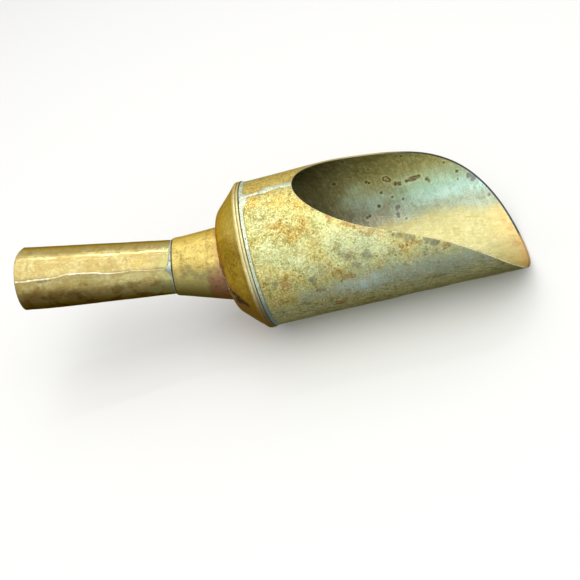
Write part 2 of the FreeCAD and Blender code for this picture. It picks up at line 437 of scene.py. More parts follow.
def body_outside():
    """Pale, greenish gold, pitted and mottled all over, with blotches, rust, a painted grey-blue reflection
    along the near side and painted shade towards the bottom.
    """
    paint = Paint("brass_body_outside", on_body)
    cloud = paint.noise(15, 3, 0.55, 0.5)
    patch = paint.noise(5, 4, 0.62, 0.6)
    mottle = paint.noise(2.2, 4, 0.7, 0.5)
    fine = paint.noise(0.95, 3, 0.8)
    grit = paint.noise(0.5, 2, 0.6)
    skin = paint.round_body()

    paint.colour = paint.mix(paint.between(cloud, 0.40, 0.60), (0.62, 0.64, 0.29), (0.64, 0.58, 0.22))
    seamward = paint.field([
        (4, 184, 10), (16, 190, 12), (28, 197, 13), (8, 171, 4), (22, 168, 4), (33, 160, 4)], 3, 6)
    paint.stain(paint.inside(seamward, 4), 0.85, (0.75, 0.56, 0.16))
    brown = paint.field([
        (20, 146, 5), (27, 138, 4.5), (33, 144, 3), (50, 147, 3.5), (57, 137, 3), (41, 155, 3),
        (47, 104, 4), (40, 112, 3.5), (17, 110, 3), (62, 58, 9), (30, 60, 5), (86, 112, 4.5),
        (30, 240, 12), (70, 270, 14), (20, 300, 12), (50, 345, 16)], 3.5, 4)
    ochre = paint.both(paint.inside(brown, 3.5), paint.between(patch, 0.36, 0.58))
    paint.stain(ochre, 0.75, (0.50, 0.33, 0.07))
    pale = paint.field([
        (13, 130, 5), (46, 131, 7), (59, 124, 7), (70, 119, 6), (28, 120, 5), (12, 155, 6),
        (90, 250, 12), (100.1, 76.5, 0.5)], 3, 4)
    paint.stain(paint.inside(pale, 4), 0.4, (0.72, 0.77, 0.43))
    dull = paint.field([
        (60, 108, 8), (50, 120, 5), (75, 107, 7), (95, 104, 7), (115, 102, 7), (36, 108, 5),
        (62, 118, 6), (60, 80, 7), (85, 80, 7), (105, 82, 8)], 3, 6)
    paint.stain(paint.inside(dull, 5), 0.62, (0.46, 0.50, 0.29))
    under = paint.between(paint.up, 0.02, -0.22)
    paint.stain(under, 0.6, (0.56, 0.62, 0.38))
    rimward = paint.field([
        (38, 176, 2.5), (42, 165, 2.6), (46, 155, 3.0), (52, 145, 2.6), (58, 138, 2.4), (64, 131, 2.4),
        (73, 124, 2.0)], 1.6, 3)
    rusty = paint.both(paint.inside(rimward, 1.6), paint.between(mottle, 0.34, 0.56, 0.35, 1.0))
    paint.stain(rusty, 0.62, (0.62, 0.36, 0.14))

    # painted reflection: a streaked grey-blue sheen along the near side, bluest in its middle
    sheen_band = paint.field([
        (24, 89, 2.5), (30, 89, 3), (36, 89.5, 4), (44, 89, 5), (51, 88.5, 5.5), (58, 88.5, 6),
        (65, 89.5, 6.5), (72, 90.5, 7), (79, 91, 7), (86, 91, 7), (93, 91, 7), (100, 90, 7),
        (108, 89.5, 6.5), (116, 89, 6), (124, 88, 5), (131, 88, 4), (120, 225, 10)], 1.6, 4)
    hatch = paint.either(paint.streaks(skin, -8, 6, 0.7, 0.40, 0.66),
                         paint.streaks(skin, 38, 4, 0.5, 0.50, 0.66))
    sheen_mask = paint.both(paint.inside(sheen_band, 4), paint.linear(hatch, 0.5, 0.5))
    bluest = paint.field([(49, 88, 5), (57, 88, 6), (65, 90, 5)], 2, 4)
    blue = paint.mix(paint.inside(bluest, 5), (0.48, 0.60, 0.50), (0.64, 0.88, 0.88))
    paint.stain(sheen_mask, 0.9, blue)

    # the pitting and mottling below show fully only away from the painted reflection
    bare = paint.linear(sheen_mask, -0.6, 1.0)
    paint.shade(paint.between(patch, 0.55, 0.70), (0.74, 0.68, 0.54))
    paint.shade(paint.both(paint.between(mottle, 0.53, 0.68), bare), (0.76, 0.71, 0.60))
    paint.shade(paint.between(mottle, 0.46, 0.34), (1.15, 1.16, 1.26))
    pitting = paint.linear(patch, 0.35, fine)
    pitting = paint.between(paint.linear(paint.along, -0.0009, pitting), 0.60, 0.78)
    paint.shade(paint.both(pitting, bare), (0.63, 0.57, 0.44))
    glint = paint.between(paint.linear(grit, 0.5, fine), 0.71, 0.56)
    paint.shade(glint, (1.28, 1.28, 1.42))

    grey = paint.field([
        (51, 116, 1.2), (52.6, 114.2, 1.5), (54.4, 116.5, 1.0), (63.2, 113.8, 1.5), (63.8, 111.4, 1.7),
        (55.3, 107.2, 1.0), (57.5, 106, 1.2), (30.8, 103, 1.4), (31.6, 99, 1.0), (22, 82, 1.0),
        (24.5, 81, 1.2), (33.4, 92.4, 1.1), (35.6, 91.6, 0.8), (97, 78.6, 0.9), (99, 78.2, 1.1),
        (101, 78, 0.8), (8, 112, 0.8), (11, 106, 1.4), (40, 135, 0.6), (79, 121.6, 0.9),
        (82.5, 120.4, 1.5), (86.4, 117.6, 1.9), (88.8, 116, 1.2), (96.4, 112.2, 1.5),
        (99.6, 110, 2.2)], 1.7, 2.4)
    paint.stain(paint.rim(grey, 0.3, 0.6), 0.4, (0.28, 0.17, 0.10))
    tone = paint.between(mottle, 0.36, 0.62, 0.62, 1.0)
    paint.stain(paint.both(paint.inside(grey, 0.6), tone), 0.88, (0.235, 0.235, 0.15))
    rust = paint.field([
        (15.2, 104.5, 1.6), (17.2, 102.5, 1.8), (49, 98.6, 1.4), (51.5, 99.4, 1.3), (53.5, 98, 0.9),
        (68, 127.4, 1.3), (66.2, 126, 1.0), (69.6, 128.2, 0.8), (41.5, 73, 1.9), (44.6, 74.6, 1.4),
        (82, 112, 1.0), (85, 113.4, 0.9), (89, 113.2, 1.2), (92, 112, 0.9), (104.5, 104, 1.2),
        (107, 104.6, 0.9), (48, 146, 1.2), (50.5, 145, 1.0), (60, 133.5, 1.0), (58, 136, 0.8)], 1.7, 2.2)
    mottled = paint.both(paint.inside(rust, 0.7), paint.between(fine, 0.30, 0.55, 0.4, 1.0))
    paint.stain(mottled, 0.72, (0.46, 0.25, 0.075))
    paint.stain(paint.rim(rust, 0.1, 0.6), 0.5, (0.27, 0.13, 0.06))
    loose = paint.scattered(8, 0.35, 1.1, 1.4, 1.8)
    paint.shade(paint.inside(loose, 0.5), (0.62, 0.56, 0.46))
    eyes = paint.scattered(6.5, 0.45, 0.9, 0.5, 1.2)
    paint.shade(paint.rim(eyes, 0, 0.45), (1.35, 1.38, 1.6))
    paint.shade(paint.inside(eyes, 0.2), (0.62, 0.58, 0.5))
    lines = paint.scratches(skin, (20, -35, 75), 7, 0.16)
    paint.shade(lines, (1.4, 1.45, 1.7))
    # painted shade in the crease against the skirt's solder
    crease_shade = paint.between(paint.linear(patch, 1.6, paint.along), 3.9, 2.4)
    paint.shade(crease_shade, (0.45, 0.42, 0.36))
    brushed = paint.either(paint.streaks(skin, -14, 7, 0.6, 0.52, 0.66),
                           paint.streaks(skin, 24, 4, 0.5, 0.56, 0.68))
    paint.shade(paint.both(brushed, under), (1.3, 1.32, 1.42))
    rubbing_and_sheen = paint.both(paint.streaks(skin, -20, 6, 1.3, 0.50, 0.66), under)
    paint.shade(rubbing_and_sheen, (0.76, 0.73, 0.66))
    # painted shadow: a dark line on the body along the lower edge of the top seam's bead
    seam_shadow = paint.field([
        (9, 178.2, 0.2), (11.5, 178.6, 0.5), (13.5, 178.2, 0.7), (16, 178.8, 0.3), (20, 179.2, 0.1),
        (24, 179.4, 0.3), (28, 179.4, 0.2)], 0.5, 1.0)
    paint.stain(paint.inside(seam_shadow, 0.4), 0.75, (0.16, 0.13, 0.08))
    # painted shade: darker towards the bottom, more so towards the mouth
    low_shade = paint.between(paint.linear(paint.along, -0.0014, paint.up), -0.36, -0.80)
    paint.shade(low_shade, (0.52, 0.52, 0.48))

    roughness = paint.between(paint.linear(pitting, 0.3, cloud), 0.35, 0.95, 0.32, 0.5)
    bumps = [(cloud, 0.3), (patch, 0.08), (mottle, 0.05), (pitting, -0.05), (lines, -0.02), (grit, 0.02)]
    return paint.metal(roughness, bumps, (0.60, 0.56, 0.36))


def body_inside():
    """Olive tarnish with lighter smears deep inside, and painted reflections: mint low on the far wall, gold
    at the bottom.
    """
    paint = Paint("brass_body_inside", in_body)
    cloud = paint.noise(13, 3, 0.55, 0.6)
    patch = paint.noise(4, 4, 0.62, 0.7)
    fine = paint.noise(1.0, 3, 0.75)
    grit = paint.noise(0.5, 2, 0.6)
    skin = paint.round_body()

    uneven = paint.math("SUBTRACT", cloud, 0.5)
    height = paint.linear(uneven, 0.22, paint.up)
    depth = paint.linear(uneven, 30.0, paint.along)
    paint.colour = paint.mix(paint.between(patch, 0.34, 0.66), (0.39, 0.385, 0.25), (0.57, 0.56, 0.44))
    smears = paint.both(paint.streaks(skin, 62, 5, 0.9, 0.46, 0.60), paint.between(patch, 0.38, 0.55))
    paint.stain(smears, 0.4, (0.84, 0.86, 0.66))
    paint.stain(paint.between(depth, 58, 36), 0.35, (0.24, 0.23, 0.10))
    strokes = paint.field([
        (44, -118.5, 1.4), (46, -121, 1.2), (48, -119, 1.0), (52, -126, 1.6), (56, -128, 1.2),
        (42, -112, 0.9), (47, -103, 2.0), (45, -98, 1.6)], 1.8, 2)
    dashes = paint.both(paint.inside(strokes, 1.0), paint.streaks(skin, 35, 3, 0.5, 0.44, 0.58))
    paint.stain(dashes, 0.65, (0.80, 0.84, 0.68))
    # painted reflection: a patch of the wall's mint further in
    mint_reflection_patch = paint.field([(57, -76, 4), (64, -73, 7), (72, -70, 6), (63, -84, 5)], 3, 5)
    paint.stain(paint.inside(mint_reflection_patch, 5), 0.95, (0.66, 0.82, 0.77))
    olive = paint.colour

    # painted reflection: mint low on the wall towards the mouth
    mint_reflection = paint.mix(paint.between(cloud, 0.35, 0.65), (0.58, 0.82, 0.70), (0.70, 0.96, 0.87))
    wall = paint.mix(paint.between(height, 0.12, -0.34), olive, mint_reflection)
    paint.colour = paint.mix(paint.between(depth, 70, 106), olive, wall)
    dull = paint.both(paint.between(height, -0.42, -0.58), paint.between(depth, 78, 100))
    paint.stain(dull, 0.7, (0.44, 0.45, 0.28))
    wall = paint.colour

    gold = paint.mix(paint.between(patch, 0.36, 0.64), (0.53, 0.49, 0.22), (0.66, 0.63, 0.33))
    tipward = paint.between(paint.along, 132, 154)
    paint.colour = paint.mix(paint.both(tipward, 0.55), gold, (0.72, 0.54, 0.20))
    grazed = paint.either(paint.streaks(skin, 10, 9, 0.5, 0.52, 0.68),
                          paint.streaks(skin, -28, 6, 0.4, 0.56, 0.7))
    paint.shade(grazed, (1.16, 1.16, 1.22))
    paint.shade(paint.streaks(skin, 14, 12, 0.8, 0.52, 0.70), (0.88, 0.85, 0.74))
    gold = paint.colour

    # painted reflection: gold along the bottom of the inside
    falling = paint.linear(paint.between(paint.along, 110, 150), 0.07, height)
    rubbing_and_sheen = paint.both(paint.between(falling, -0.57, -0.72), paint.between(depth, 44, 70))
    paint.colour = paint.mix(rubbing_and_sheen, wall, gold)
    tarnished = paint.linear(rubbing_and_sheen, -0.6, 1.0)
    brushed = paint.both(paint.streaks(skin, 84, 14, 0.6, 0.35, 0.70), tarnished)
    paint.shade(brushed, (1.14, 1.14, 1.18))
    banded = paint.both(paint.streaks(skin, 80, 22, 2.5, 0.40, 0.66), tarnished)
    paint.shade(banded, (0.90, 0.88, 0.84))
    blotted = paint.both(tarnished, paint.between(patch, 0.54, 0.72))
    paint.shade(blotted, (0.88, 0.88, 0.86))
    speckle = paint.between(paint.linear(patch, 0.6, fine), 0.76, 0.94)
    paint.shade(paint.both(speckle, tarnished), (0.82, 0.81, 0.77))

    shaded = paint.field([(133, -75, 4), (127, -78, 4), (137, -70, 3)], 3, 5)
    paint.stain(paint.inside(shaded, 3), 0.5, (0.40, 0.42, 0.31))
    red = paint.field([
        (88.4, -81.2, 1.3), (90.6, -80.6, 1.2), (95.6, -81, 1.3), (97.6, -81.6, 1.5), (99.3, -81.7, 1.8),
        (101, -82.2, 1.7), (103, -82.6, 1.4), (108.2, -78.5, 1.3), (109.3, -76, 0.9),
        (51, -96.5, 1.1)], 1.2, 1.6)
    paint.stain(paint.rim(red, 1.1, 0.9), 0.5, (0.80, 0.85, 0.64))
    streaky = paint.between(paint.streaks(skin, 12, 3, 0.6, 0.36, 0.56), 0.0, 1.0, 0.5, 1.0)
    filled = paint.both(paint.inside(red, 0.5), streaky)
    paint.stain(filled, 0.92, (0.19, 0.085, 0.06))
    curl = paint.field([(82.9, -88.4, 1.2), (84.2, -86.6, 1.1)], 0.8, 1.6)
    paint.stain(paint.rim(curl, 1.4, 0.7), 0.5, (0.80, 0.85, 0.64))
    paint.stain(paint.rim(curl, 0.3, 0.75), 0.95, (0.14, 0.06, 0.04))
    bruise = paint.field([
        (134.2, -72, 1.9), (136.2, -69, 1.9), (143.8, -52, 1.0), (86.8, -60.5, 1.4), (85.6, -59, 1.0),
        (86.0, -54.6, 1.3), (85.6, -52.6, 1.0)], 1.1, 2)
    paint.stain(paint.rim(bruise, 0.9, 0.7), 0.3, (0.80, 0.88, 0.70))
    paint.stain(paint.inside(bruise, 0.6), 0.75, (0.20, 0.19, 0.21))
    lip = paint.field([
        (156, 0, 3), (156.5, -8, 3), (157, -16, 3), (156.5, -24, 3), (156, -32, 2.4), (155, 8, 3),
        (154, 16, 3), (153, 25, 3)], 1.5, 4)
    paint.stain(paint.inside(lip, 1.8), 0.7, (0.74, 0.44, 0.17))
    orange = paint.field([(151, -19.5, 1.6), (151.4, -2.5, 2.2), (149, -28, 1.2)], 0.9, 2)
    paint.stain(paint.inside(orange, 0.7), 0.4, (0.62, 0.32, 0.13))
    paint.stain(paint.rim(orange, 0.0, 0.5), 0.35, (0.45, 0.20, 0.09))
    pits = paint.field([
        (70.8, -90, 1.0), (72.4, -88.2, 0.8), (73.6, -103.5, 0.6), (78.3, -76, 0.9), (84.6, -70, 0.7),
        (90.9, -66, 0.75), (75.2, -65, 1.1), (68, -58.5, 0.9), (66.1, -57.5, 0.8), (127.1, -78.5, 1.0),
        (126.8, -71.5, 0.5), (120, -90, 0.7), (60, -125, 0.9), (95, -110, 0.8),
        (90.3, -49, 0.5)], 1.0, 1.3)
    paint.stain(paint.rim(pits, 0.9, 0.6), 0.4, (0.80, 0.88, 0.70))
    paint.stain(paint.inside(pits, 0.35), 0.85, (0.06, 0.07, 0.055))
    loose = paint.scattered(9, 0.28, 0.6, 0.5, 1.4)
    paint.shade(paint.both(paint.inside(loose, 0.3), tarnished), (0.5, 0.46, 0.42))
    lines = paint.scratches(skin, (15, -40, 60, 100), 8, 0.18)
    paint.shade(paint.both(lines, tarnished), (1.4, 1.4, 1.5))

    roughness = paint.between(paint.linear(speckle, 0.2, cloud), 0.35, 0.9, 0.32, 0.46)
    return paint.metal(roughness, [(cloud, 0.2), (speckle, -0.02), (lines, -0.02), (grit, 0.012)])


def aged(name, low, high, cloud_tint, speck_tint, speck_strength=0.6, roughness=(0.3, 0.5),
         sizes=(9.0, 1.2), on_surface=None):
    """Start of an aged brass, to which stains are added: its paint, roughness and bumps."""
    paint = Paint(name, on_surface)
    cloud = paint.noise(sizes[0], 4, 0.58, 0.6)
    fine = paint.noise(sizes[1], 3, 0.7)
    grit = paint.noise(0.6, 2, 0.6)
    paint.colour = paint.mix(paint.between(fine, 0.40, 0.60), low, high)
    paint.stain(paint.between(cloud, 0.50, 0.68), 0.6, cloud_tint)
    speckle = paint.between(paint.linear(cloud, 0.4, fine), 0.70, 0.84)
    paint.stain(speckle, speck_strength, speck_tint)
    rough = paint.between(cloud, 0.3, 0.75, *roughness)
    return paint, rough, [(cloud, 0.2), (speckle, -0.025), (grit, 0.012)]


def back_outside():
    """Deep ochre gold, painted lighter on top and darker below, with the skirt's beads painted pale on top
    and dark below, and black soot below the collar.
    """
    paint, rough, bumps = aged(
        "brass_back_outside", (0.43, 0.285, 0.028), (0.70, 0.51, 0.075), (0.38, 0.25, 0.025),
        (0.18, 0.10, 0.015), 0.75, (0.30, 0.46), on_surface=on_back)
    wide = paint.noise(6, 4, 0.6, 0.5)
    mottle = paint.noise(2.4, 4, 0.7, 0.4)
    paint.shade(paint.between(mottle, 0.54, 0.68), (0.66, 0.58, 0.5))
    fine = paint.noise(0.9, 3, 0.75)
    paint.shade(paint.between(fine, 0.53, 0.68), (0.70, 0.62, 0.5))
    orange = paint.between(paint.linear(wide, 7.0, paint.along), -9.5, -13.0)
    paint.stain(orange, 0.5, (0.66, 0.38, 0.04))
    skirt = SKIRT_LENGTH / MM
    shadow = paint.rim(paint.along, -skirt - 1.6, 2.0)
    paint.stain(shadow, 0.5, (0.30, 0.22, 0.05))
    # painted light: lighter on top
    lit_top = paint.between(paint.up, 0.66, 0.86)
    paint.stain(lit_top, 0.45, (0.78, 0.62, 0.17))
    # the beads pale on top and dark below: painted light and shade
    beads = paint.between(paint.along, -skirt - 0.6, -skirt + 0.5)
    pale = paint.mix(paint.between(paint.up, 0.4, -0.5), (0.68, 0.61, 0.29), (0.28, 0.28, 0.17))
    paint.stain(beads, 0.85, pale)
    # painted shade: the front bead greyer and bluer low down
    front_bead = paint.between(paint.along, -skirt / 2, -1.1)
    greyed = paint.both(front_bead, paint.between(paint.up, 0.7, 0.0))
    grey = paint.mix(paint.between(paint.up, 0.1, -0.4), (0.36, 0.42, 0.30), (0.24, 0.37, 0.40))
    paint.stain(greyed, 0.8, grey)
    # painted shade in the skirt's two grooves
    for groove, half, depth in ((-skirt / 2, 0.36, 0.75), (0.0, 0.46, 0.85)):
        paint.stain(paint.rim(paint.along, groove, half, 0.1), depth, (0.13, 0.14, 0.12))
    # painted shade: darker low down
    low = paint.between(paint.up, 0.45, -0.2)
    paint.stain(low, 0.7, (0.26, 0.175, 0.055))
    rusty = paint.field([
        (-17.5, 126, 1.4), (-18, 118, 1.6), (-18, 110, 1.8), (-17, 103, 2.0), (-15.5, 90, 3.4),
        (-13.2, 83, 3.4), (-10, 78, 3.0), (-7.9, 71.5, 2.8)], 1.8, 3)
    paint.stain(paint.inside(rusty, 1.6), 0.8, (0.33, 0.19, 0.12))
    soot = paint.field([
        (-17.2, 101, 1.2), (-15.6, 97.5, 1.7), (-13.7, 93.5, 2.4), (-11.5, 90.5, 2.4), (-9.4, 88.5, 1.8),
        (-14.0, 89, 2.4), (-16, 40, 3.0)], 1.6, 3)
    paint.stain(paint.inside(soot, 2.8), 0.5, (0.17, 0.10, 0.05))
    paint.stain(paint.inside(soot, 1.0), 0.85, (0.06, 0.045, 0.05))
    # a pale sliver on the knuckle by the collar
    pale_sliver = paint.field([
        (-18.4, 114, 0.8), (-18.4, 110, 1.1), (-18.3, 106, 1.0), (-18.0, 102, 0.8)], 0.6, 2)
    paint.stain(paint.inside(pale_sliver, 0.6), 0.85, (0.86, 0.86, 0.76))
    flecks = paint.between(mottle, 0.40, 0.30)
    paint.stain(paint.both(flecks, paint.rim(soot, 1.0, 1.5)), 0.6, (0.66, 0.56, 0.40))
    marks = paint.scattered(7, 0.4, 0.8, 0.7, 1.5)
    paint.stain(paint.inside(marks, 0.3), 0.55, (0.20, 0.11, 0.03))
    lines = paint.scratches(paint.round_body(), (60, 85, -70), 6, 0.16)
    paint.shade(lines, (1.5, 1.5, 2.0))
    return paint.metal(rough, bumps, (0.62, 0.46, 0.18))


def back_inside():
    """Dull olive tarnish inside the back."""
    paint, rough, bumps = aged(
        "brass_back_inside", (0.26, 0.25, 0.11), (0.40, 0.38, 0.20), (0.30, 0.24, 0.10),
        (0.12, 0.10, 0.05), roughness=(0.42, 0.58))
    return paint.metal(rough, bumps)


def collar_brass():
    """Warm gold, brighter on top in painted light, duller and greener below in painted shade, with coppery
    heat stains against the back.
    """
    paint, rough, bumps = aged(
        "brass_collar", (0.56, 0.44, 0.13), (0.82, 0.68, 0.23), (0.56, 0.43, 0.12),
        (0.30, 0.20, 0.05), 0.75, (0.28, 0.44), on_surface=on_handle)
    skin = paint.round_handle()
    from_disc, turn = paint.handle_places(skin)
    wide = paint.noise(5, 4, 0.6, 0.6)
    mottle = paint.noise(2.0, 4, 0.7, 0.4)
    # painted light: brighter and warmer on top
    warm_lit_top = paint.between(turn, 68, 105)
    paint.stain(warm_lit_top, 0.7, (0.98, 0.72, 0.17))
    paint.shade(paint.between(mottle, 0.54, 0.68), (0.68, 0.62, 0.52))
    # painted shade: duller, greener and darker on the lower side
    lower = paint.between(paint.linear(wide, 24, turn), 58, 20)
    paint.stain(lower, 0.72, (0.34, 0.32, 0.12))
    # painted shade: darker still at the bottom
    low_shade = paint.between(turn, 8, -28)
    paint.shade(low_shade, (0.6, 0.58, 0.5))
    green = paint.field([
        (23.8, 38, 1.8), (22, 31, 2.0), (25.7, 27, 1.4), (19, 24, 1.8), (13.8, 25, 1.8), (11, 30, 1.5),
        (16, 20, 1.6), (8, 36, 0.9), (30, 62, 1.0), (24, 45, 0.8)], 2.4, 2.5)
    smudge = paint.both(paint.inside(green, 1.4), paint.between(wide, 0.30, 0.60))
    paint.stain(smudge, 0.75, (0.22, 0.21, 0.11))
    reach = paint.linear(wide, 7.0, from_disc)
    topside = paint.between(reach, 12.5, 9.5)
    underneath = paint.both(paint.between(turn, 46, 14), paint.between(reach, 17.5, 13.5))
    paint.stain(topside, 0.7, (0.52, 0.32, 0.14))
    paint.stain(underneath, 0.85, (0.32, 0.16, 0.09))
    paint.stain(paint.both(paint.between(mottle, 0.5, 0.62), underneath), 0.7, (0.16, 0.08, 0.05))
    paint.stain(paint.rim(reach, 15.0, 1.4), 0.3, (0.28, 0.16, 0.05))
    lines = paint.scratches(skin, (4, 8, 35, -50), 8, 0.14)
    paint.stain(lines, 0.5, (0.28, 0.20, 0.08))
    # painted shadow in a band at the collar's mouth
    mouth = paint.between(from_disc, COLLAR_LENGTH / MM - 0.75, COLLAR_LENGTH / MM - 0.35)
    paint.stain(mouth, 0.9, (0.10, 0.09, 0.06))
    return paint.metal(rough, bumps + [(mottle, 0.03), (lines, -0.015)], (0.52, 0.42, 0.2))


def handle_brass():
    """Smooth planished gold, browner in soft patches, with painted shade on its lower side and a greenish
    shadow by the collar.
    """
    paint, rough, _ = aged(
        "brass_handle", (0.47, 0.39, 0.165), (0.60, 0.53, 0.25), (0.46, 0.35, 0.12),
        (0.36, 0.26, 0.09), 0.4, (0.15, 0.25), (11.0, 2.2), on_handle)
    skin = paint.round_handle()
    from_disc, turn = paint.handle_places(skin)
    uneven = paint.noise(6, 3)
    seasoned = paint.streaks(skin, 0, 14, 3.2, 0.42, 0.64, 4)
    paint.stain(seasoned, 0.55, (0.45, 0.33, 0.10))
    tarnish = paint.between(paint.noise(7, 3, 0.6, 0.8), 0.50, 0.62)
    paint.stain(tarnish, 0.45, (0.34, 0.25, 0.08))
    above = paint.between(paint.linear(uneven, 24, turn), 100, 116)
    paint.stain(above, 0.5, (0.56, 0.40, 0.10))
    # painted shade: darker on the lower side, more so towards the end
    below = paint.between(paint.linear(uneven, 30, turn), 56, 22)
    outward = paint.between(from_disc, 56, 92, 0.35, 1.0)
    paint.shade(paint.both(below, outward), (0.62, 0.57, 0.46))
    # painted shade: darker at the bottom
    shaded_underside = paint.between(turn, 4, -30)
    paint.shade(shaded_underside, (0.52, 0.50, 0.42))
    patched = paint.between(paint.noise(8, 2, 0.5, 0.4, skin), 0.50, 0.60)
    paint.shade(paint.both(patched, below), (0.68, 0.62, 0.50))
    darkened = paint.field([(112, 14, 4.0), (104, 8, 4.0), (118, 6, 3.5), (92, 2, 3.0)], 3, 5)
    paint.shade(paint.inside(darkened, 2.5), (0.72, 0.64, 0.52))
    green = paint.field([
        (36, -13, 5), (37, 5, 4.5), (44, -8, 4), (35, 20, 3), (36, 62, 4), (38, 48, 3.5),
        (36, 88, 3)], 2.5, 5)
    clean = paint.field([(47, 40, 3.5), (53, 38, 3)], 2.5, 5)
    paint.stain(paint.inside(clean, 2.5), 0.35, (0.66, 0.59, 0.29))
    paint.stain(paint.inside(green, 2.5), 0.6, (0.44, 0.46, 0.19))
    ochre = paint.field([(51, 57, 1.8), (54, 51, 1.4), (48, 60, 1.2), (57, 58, 1.0)], 1.8, 2.5)
    paint.stain(paint.inside(ochre, 1.2), 0.45, (0.60, 0.42, 0.08))
    worn = paint.between(paint.noise(4, 3, 0.6, 0.4, skin), 0.56, 0.66)
    paint.shade(worn, (1.12, 1.13, 1.2))
    pit = paint.field([
        (109.3, 36.5, 1.1), (111, 35.5, 0.9), (106.8, 36, 0.8), (104, 37, 0.5), (108.4, 33, 0.7),
        (63, 12, 0.7), (88, -20, 0.9), (117, 66, 0.4)], 0.9, 1.2)
    paint.stain(paint.inside(pit, 0.35), 0.65, (0.20, 0.17, 0.12))
    ding = paint.field([(43.5, 68, 1.9), (40.5, 70, 1.9)], 0.15, 1.5)
    paint.stain(paint.rim(ding, 0, 0.3), 0.6, (0.33, 0.30, 0.18))
    lines = paint.scratches(skin, (3, -6, 70), 10, 0.13)
    paint.stain(lines, 0.3, (0.32, 0.24, 0.10))
    # painted shadow in a dark band next to the collar's mouth
    gap_shadow = paint.between(from_disc, COLLAR_LENGTH / MM + 0.7, COLLAR_LENGTH / MM + 0.2)
    paint.stain(gap_shadow, 0.9, (0.07, 0.07, 0.05))
    return paint.metal(rough, [(worn, 0.008), (lines, -0.010)], (0.46, 0.38, 0.19))


def handle_inside():
    """Dull brown brass inside the handle and the collar."""
    paint, rough, bumps = aged(
        "brass_handle_inside", (0.22, 0.16, 0.06), (0.34, 0.26, 0.10), (0.24, 0.20, 0.09),
        (0.10, 0.07, 0.03), roughness=(0.5, 0.65))
    return paint.metal(rough, bumps)


def worn_and_shaded_edge(name, rubbing_and_sheen, dull, dark, edge):
    """Cut edge of a sheet: rubbed bright on the near side; dull on the far side in painted shade, very dark
    there part of the way along, and orange at its tip.
    """
    paint, rough, bumps = aged(name, rubbing_and_sheen, rubbing_and_sheen, dull, (0.16, 0.13, 0.07), 0.5, (0.3, 0.45))
    across = paint.node("ShaderNodeSeparateXYZ", inputs={0: paint.place}).outputs[1]
    # painted shade: the far side's edge dull, and very dark part of the way along
    far = paint.between(across, -2 * MM, 8 * MM)
    paint.stain(far, 0.95, dull)
    paint.stain(paint.both(far, paint.between(paint.along, 75, 105)), 0.97, dark)
    at_tip = paint.both(paint.between(paint.along, 146, 151), paint.between(across, 12 * MM, 5 * MM))
    paint.stain(at_tip, 0.9, (0.55, 0.33, 0.13))
    return paint.metal(rough, bumps, edge)


def solder(name, low, high, shaded_underside, dirt):
    """Soft solder: dull and mottled with a few dark pits, and painted shade in another colour low down."""
    paint = Paint(name)
    grain = paint.noise(1.0, 4, 0.65)
    cloud = paint.noise(4, 3, 0.6, 0.7)
    paint.colour = paint.mix(paint.between(cloud, 0.40, 0.62), low, high)
    # painted shade low down
    paint.stain(paint.between(paint.up, 0.5, -0.2), 0.9, shaded_underside)
    pits = paint.between(paint.linear(cloud, 0.35, grain), 0.72, 0.84)
    paint.stain(pits, 0.85, dirt)
    roughness = paint.between(grain, 0.3, 0.7, 0.34, 0.55)
    return paint.metal(roughness, [(cloud, 0.08), (grain, 0.02)], (0.72, 0.76, 0.72))


BODY_OUTSIDE = body_outside()
BODY_INSIDE = body_inside()
BACK_OUTSIDE = back_outside()
COLLAR_BRASS = collar_brass()
HANDLE_BRASS = handle_brass()
HANDLE_INSIDE = handle_inside()
BACK_INSIDE = back_inside()
BODY_EDGE = worn_and_shaded_edge("brass_body_edge", rubbing_and_sheen=(1.0, 0.93, 0.58), dull=(0.50, 0.42, 0.20),
                      dark=(0.06, 0.075, 0.09), edge=(0.4, 0.4, 0.36))
HANDLE_EDGE = worn_and_shaded_edge("brass_handle_edge", rubbing_and_sheen=(0.40, 0.32, 0.14), dull=(0.28, 0.22, 0.10),
                        dark=(0.28, 0.22, 0.10), edge=(0.4, 0.3, 0.2))
SOLDER = solder("solder_silver", low=(0.54, 0.61, 0.47), high=(0.78, 0.84, 0.64),
                shaded_underside=(0.22, 0.37, 0.45), dirt=(0.16, 0.17, 0.14))
JOINT_SOLDER = solder("solder_grey", low=(0.38, 0.44, 0.40), high=(0.62, 0.68, 0.60),
                      shaded_underside=(0.36, 0.42, 0.40), dirt=(0.14, 0.15, 0.13))
SEAM_SOLDER = solder("solder_on_gold", low=(0.62, 0.55, 0.32), high=(0.88, 0.85, 0.68),
                     shaded_underside=(0.7, 0.6, 0.4), dirt=(0.40, 0.32, 0.16))
FOOT_SOLDER = solder("solder_browned", low=(0.30, 0.17, 0.10), high=(0.66, 0.60, 0.46),
                     shaded_underside=(0.3, 0.17, 0.1), dirt=(0.12, 0.07, 0.05))


